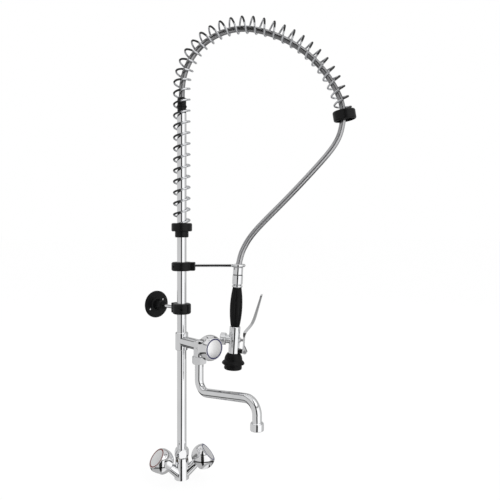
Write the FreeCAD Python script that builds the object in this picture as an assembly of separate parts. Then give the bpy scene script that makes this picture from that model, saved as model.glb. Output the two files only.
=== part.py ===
import FreeCAD, Part
import math
import os

from FreeCAD import Placement, Rotation, Vector

# Deck-mounted pre-rinse mixer tap, in millimetres.
# Origin: centre of the mixer's foot, on the deck. +Z up, -Y towards the sink, +Y towards the wall.

# ---- directions seen from above, measured from the front (-Y) towards +X ----
ARM_TURN = 46.0             # plane of the spring arch, the hook arm and the spray gun
BASE_TURN = -27.4           # front of the two-handle mixer foot
GUN_LEAN = 3.0              # the gun's lower end leans towards the column
GUN_TURN = -8.0             # the gun's lever, turned about the gun's own axis

# ---- clearances ----
RUNNING = 0.05              # radial, between a turning or sliding shaft and its bore
SOFT_GAP = 0.3              # between faces of pieces that move past each other

# ---- mixer foot ----
FOOT_R = 17.0
FOOT_H = 4.0
BODY_TOP_Z = 49.0
BODY_TOP_R = 14.8
HANDLE_AXIS_Z = 7.0         # height at which the two handle axes meet
HANDLE_RISE = 40.4          # handle axes above the horizontal
HANDLE_FORWARD = 12.5       # handle axes turned forward
HANDLE_REACH = 81.0         # from the meeting point to the edge of a knob's face
HANDLE_BARREL_R = 9.6
HANDLE_ROOT_R = 13.5
GASKET_R = 14.6
GASKET_W = 2.0
STUD_HOLE_R = 3.4
STUD_HOLE_Y = 8.0
STUD_HOLE_DEPTH = 15.0
INLET_R = 4.55
INLET_X = 7.0
INLET_Y = -4.5
INLET_DEPTH = 12.0

# ---- column ----
COLUMN_R = 11.0
COLUMN_WALL = 1.5
COLUMN_TOP_Z = 853.0
SOCKET_DEPTH = 12.0
SPIGOT_R = 12.5
SPIGOT_H = 12.0
COLUMN_FLANGE_H = 2.0
FOOT_NUT_FLATS = 29.0
FOOT_NUT_H = 21.0

# ---- branch tee with its own valve and spout ----
TEE_Z = 321.0
TEE_R = 15.0
TEE_H = 41.0
TEE_SOCKET = 10.0
BRANCH_R = 12.4
SPOUT_AXIS_REACH = 65.0     # from the column axis to the spout's swivel axis
VALVE_R = 12.6
VALVE_TOP = 12.0            # above the branch axis
VALVE_BOTTOM = 24.0         # below the branch axis
VALVE_MOUTH = 16.0          # from the swivel axis to the mouth that the spout's headwork screws into
SPOUT_NUT_FLATS = 29.5
SPOUT_NUT_H = 17.0
SPOUT_NECK_R = 11.9
SPOUT_NECK_H = 11.0
WATERWAY_R = 7.0

# ---- spout ----
SPOUT_R = 9.75
SPOUT_WALL = 1.2
SPOUT_BEND_R = 25.0
SPOUT_END_BEND_R = 28.0
SPOUT_RUN_Z = 215.5         # the long run's axis, produced back to the swivel axis
SPOUT_RISE = 7.8            # slope of the long run
SPOUT_OUTLET_REACH = 185.0  # from the swivel axis to the outlet axis
AERATOR_TOP_Z = 195.5
AERATOR_H = 16.5
STREAM_R = 1.3
STREAM_RING_R = 6.8
STREAM_COUNT = 6
AERATOR_R = 13.85
SPOUT_BUSH_H = 2.6

# ---- knobs ----
KNOB_LEN = 36.0
KNOB_BACK_R = 20.0
KNOB_MAX_R = 28.3
KNOB_FACE_R = 23.4
KNOB_CAVITY_R = 15.0
KNOB_CAVITY_DEPTH = 20.0
KNOB_HUB_R = 7.0
SCALLOPS = 4
SCALLOP_R = 20.0
SCALLOP_DEPTH = 6.0
SCALLOP_END = 16.0          # where the scallop's round end is centred, from the knob's back
INDEX_RING_R = 22.4
INDEX_RING_W = 3.0
INDEX_RING_H = 2.2
CAP_H = 3.4
CAP_DOME = 1.8
SPINDLE_R = 4.0
HEADWORK_R = 7.5
HEADWORK_FLATS = 17.0
HEADWORK_OUT = 12.0         # stands out of the body, into the knob
HEADWORK_IN = 14.0          # screwed into the body
KNOB_GAP = 1.0              # between the knob's back and the barrel

# ---- wall bracket ----
WALL_Z = 396.5
WALL_REACH = 105.5          # from the column axis to the wall
WALL_DISC_R = 33.0
WALL_DISC_T = 5.0
WALL_HUB_R = 13.0
WALL_HUB_L = 28.0
WALL_PCD = 43.0
WALL_HOLE_R = 2.75
WALL_HOLE_TILT = 30.0
WALL_ROD_R = 4.0
WALL_ROD_SEAT = 20.0        # how deep the rod sits in the flange's hub
CLAMP_BORE = COLUMN_R
WALL_CLAMP_R = 21.5
WALL_CLAMP_H = 24.0
WALL_CLAMP_BOSS_W = 16.0
WALL_CLAMP_REACH = 32.0
CLAMP_EDGE = 4.0
CLAMP_SLOT = 1.2
BOSS_EDGE = 2.0

# ---- hook arm ----
HOOK_CLAMP_Z = 495.2
HOOK_CLAMP_H = 20.4
HOOK_CLAMP_R = 24.0
HOOK_BOSS_W = 16.0
HOOK_BOSS_REACH = 31.4
HOOK_ROD_R = 3.5
HOOK_ROD_Z = 497.2
HOOK_REACH = 132.2          # from the column axis to the ring's centre
HOOK_RING_R = 13.6          # of the rod's centreline
HOOK_ENTRY = 55.0           # opening left in the ring for the hose, in degrees

# ---- spring arch ----
HOLDER_Z = 563.0
HOLDER_NECK_R = 15.8
HOLDER_NECK_H = 14.0
HOLDER_R = 24.1
HOLDER_H = 19.5
SPRING_SEAT = 12.0          # how deep the spring sits in its holder
SPRING_R = 18.9             # of the wire's centreline
SPRING_WIRE_R = 1.8
SPRING_SIDES = 5            # flat sides of the modelled wire
SPRING_STEPS = 12           # straight runs for each turn
SPRING_PITCH = 25.7         # up the column
SPRING_ARC_PITCH = 23.7     # round the arch
SPRING_PHASE = -49.0        # where the wire starts, in degrees round the column
ARCH_Z = 909.5              # where the straight part ends
ARCH_R1 = 151.0
ARCH_TURN1 = 100.4
ARCH_R2 = 250.0
ARCH_TURN2 = 70.3
COLLAR_R = 26.6
COLLAR_L = 24.0
COLLAR_HOLE_R = 16.0
COLLAR_MOUTH_R = 22.0         # wide recess on the side where the hose leaves
COLLAR_MOUTH_DEPTH = 8.0
COLLAR_SEAT = 8.0           # how deep the spring's end sits in the collar
COLLAR_EDGE = 4.0

# ---- hoses ----
HOSE_R = 7.0
COUPLING_R = 10.3
COUPLING_H = 37.0
COUPLING_RIB_R = 11.8
HOSE_ARCH_Z = ARCH_Z - 4.5  # where the hose starts to bend
HOSE_INSET = 4.0            # the hose's first bend is this much tighter than the arch's
HOSE_SLACK = 14.6           # and its second this much wider
# radius and turn of each bend: the hose hugs the inside of the arch
HOSE_ARCS = ((ARCH_R1 - HOSE_INSET, ARCH_TURN1), (ARCH_R2 + HOSE_SLACK, 56.2), (110.0, 31.1))

# ---- spray gun, along its own axis, downward from the top of the hose ferrule ----
FERRULE_R = 11.7
FERRULE_H = 17.4
SEAL_H = 1.4
SEAL_R = 11.2
LOWER_FERRULE_R = 12.3
LOWER_FERRULE_H = 20.5
NECK_R = 9.0
FLANGE_R = 12.5
FLANGE_T = 42.0             # start of the flange
FLANGE_H = 5.0
GRIP_T = 47.6
GRIP_H = 91.4
GRIP_END_R = 10.2
GRIP_MID_R = 14.6
GRIP_FLUTES = 16
FLUTE_R = 1.5
GRIP_CORE_R = 7.5
BODY_T = GRIP_T + GRIP_H
BODY_H = 61.5
BODY_R = 12.8
VALVE_T = 169.5             # the push valve's axis
VALVE_BARREL_R = 9.8
VALVE_CAP_R = 14.0
VALVE_CAP_START = 19.5
VALVE_CAP_L = 13.5
PIVOT_T = 195.6
PIVOT_REACH = 26.0
PIN_R = 2.0
PIN_HEAD_R = 3.4
PIN_HEAD_H = 1.2
PIN_SLOT_W = 0.9
LEVER_EYE_R = 5.5
LEVER_WEB = 2.2             # thickness of the channel's web
LEVER_WALL = 1.6            # thickness of its sides
# the lever from the side: distance down the gun, reach of the outer face and of the sides' inner edge
LEVER_SIDE = ((59.0, 61.0, 57.0), (80.0, 56.2, 51.6), (106.0, 50.4, 44.4), (127.5, 44.0, 36.8),
              (141.0, 35.8, 27.0), (150.0, 29.0, 21.4), (160.0, 25.0, 21.0), (170.0, 24.2, 21.4),
              (179.0, 24.2, 21.6))
LEVER_EAR_T = 2.4
LEVER_EAR_TOP = 163.0       # where the ears start, down the gun
LEVER_EAR_END = 184.0
LEVER_WAIST = (150.0, 128.0)    # where the blade reaches its full width, and where it starts to narrow
TONGUE_W = 7.0
TONGUE_R = 4.6
SADDLE_W = 15.0
SADDLE_H = 9.0
LEVER_TOP_W = 12.0
LEVER_MID_W = 18.0
PLUNGER_R = 3.0
GLAND_R = 6.0
GLAND_OUT = 2.4
HEAD_T = BODY_T + BODY_H
HEAD_TOP_R = 14.2
HEAD_DOME_R = 21.2
HEAD_DOME_H = 17.0
HEAD_LIP_R = 26.5
HEAD_LIP_DROP = 23.4        # the lip's edge, below the top of the head
HEAD_SKIRT_R = 21.0
HEAD_SKIRT_DROP = 27.5
HEAD_H = 38.0
HEAD_BORE_R = 16.8
SPRAY_FACE_H = 5.0
SPRAY_HOLE_R = 1.0

UP = Vector(0, 0, 1)
ARM_ANGLE = ARM_TURN - 90.0


# ---------------------------------------------------------------- helpers
def edges_through(start, steps):
    """Edges from start in the XZ plane; a step is an end point, or a mid point and an end point."""
    here = Vector(start[0], 0, start[1])
    edges = []
    for step in steps:
        if isinstance(step[0], tuple):
            middle = Vector(step[0][0], 0, step[0][1])
            end = Vector(step[1][0], 0, step[1][1])
            edges.append(Part.Arc(here, middle, end).toShape())
        else:
            end = Vector(step[0], 0, step[1])
            edges.append(Part.LineSegment(here, end).toShape())
        here = end
    return edges


def lathe(start, *steps):
    """A solid turned about Z from a closed (radius, height) outline."""
    outline = edges_through(start, list(steps) + [start])
    return Part.Face(Part.Wire(outline)).revolve(Vector(), UP, 360)


def dome(radius, base, rise):
    """An outline's arc from (radius, base) to the axis, part of a sphere centred on the axis."""
    sphere_r = (radius * radius + rise * rise) / (2 * rise)
    half = math.asin(radius / sphere_r) / 2.0
    return ((sphere_r * math.sin(half), base + rise - sphere_r * (1 - math.cos(half))), (0, base + rise))


def rod(radius, low, high):
    return Part.makeCylinder(radius, high - low, Vector(0, 0, low))


def ring(outer, inner, low, high):
    return rod(outer, low, high).cut(rod(inner, low - 1, high + 1))


def hexagon(flats, low, high, chamfer=1.2):
    """A six-sided nut blank with turned-off corners."""
    corner = flats / math.sqrt(3)
    points = [Vector(corner * math.cos(math.radians(60 * i)), corner * math.sin(math.radians(60 * i)), low)
              for i in range(7)]
    prism = Part.Face(Part.makePolygon(points)).extrude(Vector(0, 0, high - low))
    flat_r = flats / 2.0
    turned = lathe((0, low), (flat_r, low), (corner + 0.01, low + chamfer),
                   (corner + 0.01, high - chamfer), (flat_r, high), (0, high))
    return prism.common(turned)


def rounded_puck(radius, low, high, edge):
    """A disc with both rims rounded."""
    dip = edge * (1 - math.sqrt(0.5))
    return lathe((0, low), (radius - edge, low), ((radius - dip, low + dip), (radius, low + edge)),
                 (radius, high - edge), ((radius - dip, high - dip), (radius - edge, high)), (0, high))


def without(shape, *tools):
    """Cut the tools away one after another."""
    for tool in tools:
        shape = shape.cut(tool)
    return shape


def aim(shape, origin, direction):
    """Carry a shape drawn along Z to origin, with Z along direction."""
    moved = shape.copy()
    moved.Placement = Placement(origin, Rotation(UP, direction)).multiply(moved.Placement)
    return moved


def turn(shape, degrees):
    """Turn a shape about the column axis."""
    moved = shape.copy()
    moved.rotate(Vector(), UP, degrees)
    return moved


def pipe(edges, radius):
    """A round rod swept along tangent straight runs and arcs."""
    path = Part.Wire(edges)
    start = edges[0].Vertexes[0].Point
    first = edges[0]
    direction = first.tangentAt(first.FirstParameter)
    circle = Part.Wire(Part.makeCircle(radius, start, direction))
    return path.makePipeShell([circle], True, False)


def rounded_route(points, radii=None, label=None):
    """Straight runs joined by tangent arcs; each arc takes 0.45 of its shorter run if no radius is given."""
    here = points[0]
    edges = []
    used = []
    for i in range(1, len(points) - 1):
        before = (points[i] - points[i - 1]).normalize()
        after = (points[i + 1] - points[i]).normalize()
        half = before.getAngle(after) / 2.0
        shorter = min(points[i].distanceToPoint(points[i - 1]), points[i + 1].distanceToPoint(points[i]))
        radius = radii[i - 1] if radii else 0.45 * shorter / math.tan(half)
        setback = radius * math.tan(half)
        start = points[i] - before * setback
        end = points[i] + after * setback
        inward = (after - before).normalize()
        middle = points[i] + inward * (radius / math.cos(half) - radius)
        edges.append(Part.LineSegment(here, start).toShape())
        edges.append(Part.Arc(start, middle, end).toShape())
        here = end
        used.append(radius)
    edges.append(Part.LineSegment(here, points[-1]).toShape())
    if label:
        print(label, "bend radii:", [round(value, 1) for value in used])
    return edges


def faceted_rod(points, radius, sides):
    """A many-sided rod along short straight runs, mitred where they meet."""
    count = len(points)
    runs = [(points[i + 1] - points[i]).normalize() for i in range(count - 1)]
    across = runs[0].cross(UP if abs(runs[0].z) < 0.9 else Vector(1, 0, 0)).normalize()
    beside = runs[0].cross(across)
    section = []
    for k in range(sides):
        angle = 2 * math.pi * k / sides
        section.append(points[0] + across * (radius * math.cos(angle)) + beside * (radius * math.sin(angle)))
    faces = [Part.Face(Part.makePolygon(section + section[:1]))]
    for i in range(1, count):
        run = runs[i - 1]
        mitre = run + runs[i] if i < count - 1 else run
        following = []
        for corner in section:
            length = (points[i] - corner).dot(mitre) / run.dot(mitre)
            following.append(corner + run * length)
        for k in range(sides):
            j = (k + 1) % sides
            faces.append(Part.Face(Part.makePolygon(
                [section[k], section[j], following[j], following[k], section[k]])))
        section = following
    faces.append(Part.Face(Part.makePolygon(section + section[:1])))
    shell = Part.makeShell(faces)
    shell.sewShape()
    solid = Part.makeSolid(shell)
    if solid.Volume < 0:
        solid.reverse()
    return solid


def export(name, shape):
    """Write one sub-part to its own STEP file."""
    clean = shape.copy()
    if not clean.isValid() or not clean.Solids:
        print("NOT VALID:", name, len(clean.Solids), "solids")
    if len(clean.Solids) == 1:
        clean = clean.Solids[0]
    clean.exportStep("parts/" + name + ".step")
    total[0] += 1
    print("%-22s %2d solids %9.0f mm3" % (name, len(clean.Solids), clean.Volume))


total = [0]


# ---------------------------------------------------------------- mixer foot
def handle_direction(side):
    """Unit vector along a handle axis: side -1 is hot, on the left, and 1 is cold."""
    rise = math.radians(HANDLE_RISE)
    forward = math.radians(HANDLE_FORWARD)
    flat = math.cos(rise)
    return Vector(side * flat * math.cos(forward), -flat * math.sin(forward), math.sin(rise))


HANDLE_CENTRE = Vector(0, 0, HANDLE_AXIS_Z)
BARREL_END = HANDLE_REACH - KNOB_LEN - KNOB_GAP


def mixer_body():
    """The Y-shaped casting: foot, two tapered handle barrels and the spigot for the column."""
    body = lathe((0, 0), (FOOT_R, 0), (FOOT_R, FOOT_H), (BODY_TOP_R + 1.2, BODY_TOP_Z - 8),
                 (BODY_TOP_R, BODY_TOP_Z), (SPIGOT_R, BODY_TOP_Z), (SPIGOT_R, BODY_TOP_Z + SPIGOT_H),
                 (0, BODY_TOP_Z + SPIGOT_H))
    for side in (-1, 1):
        cone = Part.makeCone(HANDLE_ROOT_R, HANDLE_BARREL_R, BARREL_END - 4)
        barrel = cone.fuse(rod(HANDLE_BARREL_R, BARREL_END - 4, BARREL_END))
        body = body.fuse(aim(barrel, HANDLE_CENTRE, handle_direction(side)))
    above_deck = Part.makeBox(400, 400, 200, Vector(-200, -200, 0))
    body = body.common(above_deck).removeSplitter()
    cuts = [rod(COLUMN_R - COLUMN_WALL, BODY_TOP_Z - 12, BODY_TOP_Z + SPIGOT_H + 1),
            ring(GASKET_R + GASKET_W / 2, GASKET_R - GASKET_W / 2, -1, GASKET_W),
            Part.makeCylinder(STUD_HOLE_R, STUD_HOLE_DEPTH + 1, Vector(0, STUD_HOLE_Y, -1))]
    for side in (-1, 1):
        cuts.append(Part.makeCylinder(INLET_R, INLET_DEPTH + 1, Vector(side * INLET_X, INLET_Y, -1)))
        socket = rod(HEADWORK_R, BARREL_END - HEADWORK_IN, BARREL_END + 1)
        cuts.append(aim(socket, HANDLE_CENTRE, handle_direction(side)))
    return body.cut(cuts)


def foot_nut():
    """The nut that clamps the column's flange to the spigot."""
    low = BODY_TOP_Z + SOFT_GAP
    high = BODY_TOP_Z + FOOT_NUT_H
    step = BODY_TOP_Z + SPIGOT_H + COLUMN_FLANGE_H
    blank = hexagon(FOOT_NUT_FLATS, low, high, 5.0)
    return blank.cut([rod(SPIGOT_R, low - 1, step), rod(COLUMN_R, step - 1, high + 1)])


def headwork():
    """The quarter-turn valve cartridge; z = 0 is the end of its barrel."""
    shape = rod(HEADWORK_R, -HEADWORK_IN, 2)
    shape = shape.fuse([hexagon(HEADWORK_FLATS, 2, 8), rod(6.2, 8, HEADWORK_OUT)])
    return shape.cut(rod(SPINDLE_R + RUNNING, -HEADWORK_IN + 6, HEADWORK_OUT + 1))


# ---------------------------------------------------------------- knobs, drawn with z = 0 at the back
CAP_SEAT_Z = KNOB_LEN - CAP_H
RING_SEAT_Z = KNOB_LEN - INDEX_RING_H + 0.3
SCREW_HEAD_R = 4.2


def knob_shell():
    """A bulged handwheel with finger scallops, hollow at the back and recessed for its cap."""
    shape = lathe((0, 0), (KNOB_BACK_R - 1, 0), (KNOB_BACK_R, 1),
                  ((KNOB_MAX_R, KNOB_LEN * 0.5), (KNOB_FACE_R + 0.6, KNOB_LEN - 1)),
                  ((KNOB_FACE_R + 0.4, KNOB_LEN - 0.3), (KNOB_FACE_R - 0.4, KNOB_LEN)), (0, KNOB_LEN))
    centre = KNOB_MAX_R + SCALLOP_R - SCALLOP_DEPTH
    for i in range(SCALLOPS):
        angle = 2 * math.pi * (i + 0.5) / SCALLOPS
        foot = Vector(centre * math.cos(angle), centre * math.sin(angle), -1)
        cutter = Part.makeCylinder(SCALLOP_R, SCALLOP_END + 1, foot)
        cutter = cutter.fuse(Part.makeSphere(SCALLOP_R, foot + Vector(0, 0, SCALLOP_END + 1)))
        shape = shape.cut(cutter)
    cavity = rod(KNOB_CAVITY_R, -1, KNOB_CAVITY_DEPTH)
    hub = rod(KNOB_HUB_R, HEADWORK_OUT + KNOB_GAP, KNOB_CAVITY_DEPTH + 1)
    shape = shape.cut([cavity.cut(hub),
                       rod(SPINDLE_R, 0, KNOB_CAVITY_DEPTH + 4),
                       rod(1.8, KNOB_CAVITY_DEPTH, CAP_SEAT_Z),
                       rod(SCREW_HEAD_R + 0.2, CAP_SEAT_Z - 3.2, CAP_SEAT_Z + 1),
                       rod(INDEX_RING_R - INDEX_RING_W, CAP_SEAT_Z, KNOB_LEN + 1),
                       rod(INDEX_RING_R, RING_SEAT_Z, KNOB_LEN + 1)])
    return shape


def index_ring():
    """The coloured ring round the cap."""
    return ring(INDEX_RING_R, INDEX_RING_R - INDEX_RING_W, RING_SEAT_Z, RING_SEAT_Z + INDEX_RING_H)


def index_cap():
    """The domed cap that covers the knob's screw."""
    radius = INDEX_RING_R - INDEX_RING_W
    return lathe((0, CAP_SEAT_Z), (radius, CAP_SEAT_Z), (radius, KNOB_LEN), dome(radius, KNOB_LEN, CAP_DOME))


def knob_screw():
    """Cheese-head screw from the cap's recess into the spindle."""
    head = rod(SCREW_HEAD_R, CAP_SEAT_Z - 3.2, CAP_SEAT_Z - 0.4)
    shank = rod(1.8, KNOB_CAVITY_DEPTH - 2, CAP_SEAT_Z - 3.2)
    slot = Part.makeBox(2 * SCREW_HEAD_R + 2, 1.0, 1.4, Vector(-SCREW_HEAD_R - 1, -0.5, CAP_SEAT_Z - 1.8))
    return head.fuse(shank).cut(slot)


def knob_spindle():
    """The spindle that turns in the headwork and carries the knob."""
    shape = rod(SPINDLE_R, -HEADWORK_IN + 7 + KNOB_GAP, KNOB_CAVITY_DEPTH + 4)
    return shape.cut(rod(1.8, KNOB_CAVITY_DEPTH - 2, KNOB_CAVITY_DEPTH + 5))


def knob_set(prefix, origin, direction, spin):
    """One knob's five pieces; origin is the middle of the knob's back."""
    pieces = {"knob": knob_shell(), "index_ring": index_ring(), "cap": index_cap(),
              "knob_screw": knob_screw(), "spindle": knob_spindle()}
    for name, shape in pieces.items():
        shape.rotate(Vector(), UP, spin)
        export(prefix + "_" + name, aim(shape, origin, direction))
    barrel_end = origin - direction * KNOB_GAP
    export(prefix + "_headwork", aim(headwork(), barrel_end, direction))


# ---------------------------------------------------------------- column and tee
TEE_LOW = TEE_Z - TEE_H / 2.0
TEE_HIGH = TEE_Z + TEE_H / 2.0
COLUMN_FOOT_Z = BODY_TOP_Z + SPIGOT_H


def lower_column():
    shape = rod(COLUMN_R, COLUMN_FOOT_Z, TEE_LOW + TEE_SOCKET)
    shape = shape.fuse(rod(SPIGOT_R - 0.1, COLUMN_FOOT_Z, COLUMN_FOOT_Z + COLUMN_FLANGE_H))
    return shape.cut(rod(COLUMN_R - COLUMN_WALL, 0, COLUMN_TOP_Z))


def upper_column():
    return ring(COLUMN_R, COLUMN_R - COLUMN_WALL, TEE_HIGH - TEE_SOCKET, COLUMN_TOP_Z)


def tee_body():
    """Sleeve on the column, branch, and the valve barrel that carries the spout."""
    front = Vector(0, -1, 0)
    sleeve = lathe((0, TEE_LOW), (TEE_R - 1.5, TEE_LOW), (TEE_R, TEE_LOW + 1.5), (TEE_R, TEE_HIGH - 1.5),
                   (TEE_R - 1.5, TEE_HIGH), (0, TEE_HIGH))
    centre = Vector(0, 0, TEE_Z)
    collar = SPOUT_AXIS_REACH + VALVE_MOUTH
    branch = aim(rod(BRANCH_R, 0, SPOUT_AXIS_REACH), centre, front)
    low = TEE_Z - VALVE_BOTTOM
    high = TEE_Z + VALVE_TOP
    valve = lathe((0, low - SPOUT_NECK_H), (SPOUT_NECK_R, low - SPOUT_NECK_H), (SPOUT_NECK_R, low),
                  (VALVE_R, low), (VALVE_R, high - 5), ((VALVE_R - 1.5, high - 1.5), (VALVE_R - 5, high)),
                  (0, high))
    valve.translate(Vector(0, -SPOUT_AXIS_REACH, 0))
    mouth = aim(rod(BRANCH_R, SPOUT_AXIS_REACH, collar), centre, front)
    body = sleeve.fuse([branch, valve, mouth]).removeSplitter()
    outlet = rod(SPOUT_R + RUNNING, low - SPOUT_NECK_H - 1, low + 1)
    passage = rod(WATERWAY_R, low, TEE_Z)
    for hole in (outlet, passage):
        hole.translate(Vector(0, -SPOUT_AXIS_REACH, 0))
    return without(body, rod(COLUMN_R - COLUMN_WALL, TEE_LOW - 1, TEE_HIGH + 1),
                   rod(COLUMN_R, TEE_LOW - 1, TEE_LOW + TEE_SOCKET),
                   rod(COLUMN_R, TEE_HIGH - TEE_SOCKET, TEE_HIGH + 1),
                   aim(rod(WATERWAY_R - 1, 0, collar), centre, front), passage, outlet,
                   aim(rod(HEADWORK_R, collar - HEADWORK_IN, collar + 1), centre, front))


def spout_nut():
    """The nut under the valve that holds the spout's collar."""
    high = TEE_Z - VALVE_BOTTOM - SOFT_GAP
    low = TEE_Z - VALVE_BOTTOM - SPOUT_NUT_H
    shape = hexagon(SPOUT_NUT_FLATS, low, high, 1.6)
    shape = shape.cut([rod(SPOUT_NECK_R, SPOUT_BUSH_Z, high + 1), rod(SPOUT_R + RUNNING, low - 1, high + 1)])
    shape.translate(Vector(0, -SPOUT_AXIS_REACH, 0))
    return shape


# ---------------------------------------------------------------- spout
SPOUT_NECK_Z = TEE_Z - VALVE_BOTTOM - SPOUT_NECK_H
SPOUT_BUSH_Z = SPOUT_NECK_Z - SPOUT_BUSH_H - SOFT_GAP
SPOUT_TOP_Z = TEE_Z - VALVE_BOTTOM - 3.0


def spout_route():
    """Down from the swivel, out along the rising run, and down to the outlet."""
    slope = math.tan(math.radians(SPOUT_RISE))
    knee = Vector(0, -SPOUT_AXIS_REACH, SPOUT_RUN_Z)
    far = Vector(0, -SPOUT_AXIS_REACH - SPOUT_OUTLET_REACH, SPOUT_RUN_Z + SPOUT_OUTLET_REACH * slope)
    top = Vector(0, -SPOUT_AXIS_REACH, SPOUT_TOP_Z)
    end = Vector(far.x, far.y, AERATOR_TOP_Z - 8.0)
    return [top, knee, far, end]


def spout_pipe():
    route = rounded_route(spout_route(), [SPOUT_BEND_R, SPOUT_END_BEND_R])
    return pipe(route, SPOUT_R).cut(pipe(route, SPOUT_R - SPOUT_WALL))


def spout_bush():
    """The collar that keeps the spout in its nut."""
    shape = ring(SPOUT_NECK_R - 0.2, SPOUT_R, SPOUT_BUSH_Z + 0.15, SPOUT_BUSH_Z + 0.15 + SPOUT_BUSH_H)
    shape.translate(Vector(0, -SPOUT_AXIS_REACH, 0))
    return shape


def aerator_place():
    return Vector(0, -SPOUT_AXIS_REACH - SPOUT_OUTLET_REACH, AERATOR_TOP_Z)


def aerator_housing():
    shape = lathe((0, -AERATOR_H), (AERATOR_R - 0.8, -AERATOR_H), (AERATOR_R, -AERATOR_H + 0.8),
                  (AERATOR_R, -4.5), ((AERATOR_R - 0.9, -1.8), (AERATOR_R - 3.0, 0)), (0, 0))
    shape = shape.cut([rod(SPOUT_R, -8, 1), rod(SPOUT_R - SPOUT_WALL, -AERATOR_H, 0),
                       rod(AERATOR_R - 2.2, -AERATOR_H - 1, -10)])
    shape.translate(aerator_place())
    return shape


def aerator_insert():
    """Flow straightener: a disc with one round passage in the middle and a ring of them round it."""
    shape = rod(AERATOR_R - 2.2, -AERATOR_H + 1.5, -10)
    holes = [rod(STREAM_R, -AERATOR_H, 0)]
    for i in range(STREAM_COUNT):
        angle = 2 * math.pi * i / STREAM_COUNT
        spot = Vector(STREAM_RING_R * math.cos(angle), STREAM_RING_R * math.sin(angle), -AERATOR_H)
        holes.append(Part.makeCylinder(STREAM_R, AERATOR_H, spot))
    shape = shape.cut(holes)
    shape.translate(aerator_place())
    return shape


# ---------------------------------------------------------------- clamps on the column
def column_clamp(radius, height, boss_width, boss_reach, rod_z, rod_radius, rod_seat):
    """A split plastic clamp round the column with a block along +X for a rod."""
    body = rounded_puck(radius, -height / 2.0, height / 2.0, CLAMP_EDGE)
    boss = Part.makeBox(boss_reach, boss_width, height - 0.4, Vector(0, -boss_width / 2, -height / 2 + 0.2))
    body = body.fuse(boss.makeFillet(BOSS_EDGE, boss.Edges))
    slot = Part.makeBox(radius + 2, CLAMP_SLOT, height + 2,
                        Vector(-radius - 2, -CLAMP_SLOT / 2, -height / 2 - 1))
    seat = aim(rod(rod_radius, rod_seat, boss_reach + 1), Vector(0, 0, rod_z), Vector(1, 0, 0))
    screw_hole = Part.makeCylinder(2.0, 2 * radius, Vector(-(radius + CLAMP_BORE) / 2, -radius, 0),
                                   Vector(0, 1, 0))
    return body.cut([rod(CLAMP_BORE, -height, height), slot, seat, screw_hole])


def clamp_screw(radius):
    """The socket screw that closes a clamp."""
    middle = (radius + CLAMP_BORE) / 2.0
    half = math.sqrt(radius * radius - middle * middle) - 2.5
    shank = Part.makeCylinder(2.0, 2 * half, Vector(-middle, -half, 0), Vector(0, 1, 0))
    recess = Part.makeCylinder(1.2, 2.0, Vector(-middle, -half, 0), Vector(0, 1, 0))
    return shank.cut(recess)


ROD_SEAT = COLUMN_R + 6.0


def wall_clamp_pieces():
    clamp = column_clamp(WALL_CLAMP_R, WALL_CLAMP_H, WALL_CLAMP_BOSS_W, WALL_CLAMP_REACH, 0,
                         WALL_ROD_R, ROD_SEAT)
    hub_face = WALL_REACH - WALL_DISC_T - WALL_HUB_L
    bar = aim(rod(WALL_ROD_R, ROD_SEAT, hub_face + WALL_ROD_SEAT), Vector(), Vector(1, 0, 0))
    pieces = {"wall_clamp": clamp, "wall_clamp_screw": clamp_screw(WALL_CLAMP_R), "wall_rod": bar}
    for name, shape in pieces.items():
        shape.rotate(Vector(), UP, 90)
        shape.translate(Vector(0, 0, WALL_Z))
        export(name, shape)


def wall_flange():
    """Round rosette with a hub for the rod, drawn with z = 0 on the wall and the hub along -z."""
    face = -WALL_DISC_T
    hub_end = face - WALL_HUB_L
    shape = lathe((0, 0), (0, hub_end), (WALL_HUB_R - 3, hub_end), (WALL_HUB_R - 1.5, hub_end + 1.5),
                  (WALL_HUB_R, face - 4), ((WALL_HUB_R + 1.2, face - 1.2), (WALL_HUB_R + 4, face)),
                  (WALL_DISC_R - 2, face), (WALL_DISC_R, face + 2), (WALL_DISC_R, 0))
    holes = [rod(WALL_ROD_R, hub_end - 1, hub_end + WALL_ROD_SEAT)]
    for half_turn in (0, 180):
        angle = math.radians(180 - WALL_HOLE_TILT + half_turn)
        spot = Vector(WALL_PCD / 2 * math.cos(angle), WALL_PCD / 2 * math.sin(angle), face - 1)
        holes.append(Part.makeCylinder(WALL_HOLE_R, WALL_DISC_T + 2, spot))
    shape = shape.cut(holes)
    # the disc's x axis becomes -X of the tap, its y axis +Z
    shape.rotate(Vector(), Vector(1, 0, 0), -90)
    shape.rotate(Vector(), Vector(0, 1, 0), 180)
    shape.translate(Vector(0, WALL_REACH, WALL_Z))
    return shape


def hook_rod():
    """A rod bent into an open ring that the hose lies in."""
    def on_ring(degrees):
        angle = math.radians(degrees)
        return Vector(HOOK_REACH + HOOK_RING_R * math.cos(angle), HOOK_RING_R * math.sin(angle), 0)

    start = 180.0
    end = start + 360.0 - HOOK_ENTRY
    bar = aim(rod(HOOK_ROD_R, ROD_SEAT, HOOK_REACH - HOOK_RING_R), Vector(), Vector(1, 0, 0))
    loop = pipe([Part.Arc(on_ring(start), on_ring((start + end) / 2), on_ring(end)).toShape()], HOOK_ROD_R)
    shape = bar.fuse([loop, Part.makeSphere(HOOK_ROD_R, on_ring(end))]).removeSplitter()
    shape.translate(Vector(0, 0, HOOK_ROD_Z))
    return turn(shape, ARM_ANGLE)


def hook_pieces():
    clamp = column_clamp(HOOK_CLAMP_R, HOOK_CLAMP_H, HOOK_BOSS_W, HOOK_BOSS_REACH, HOOK_ROD_Z - HOOK_CLAMP_Z,
                         HOOK_ROD_R, ROD_SEAT)
    for name, shape in {"hook_clamp": clamp, "hook_clamp_screw": clamp_screw(HOOK_CLAMP_R)}.items():
        shape.translate(Vector(0, 0, HOOK_CLAMP_Z))
        export(name, turn(shape, ARM_ANGLE))
    export("hook_rod", hook_rod())


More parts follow.
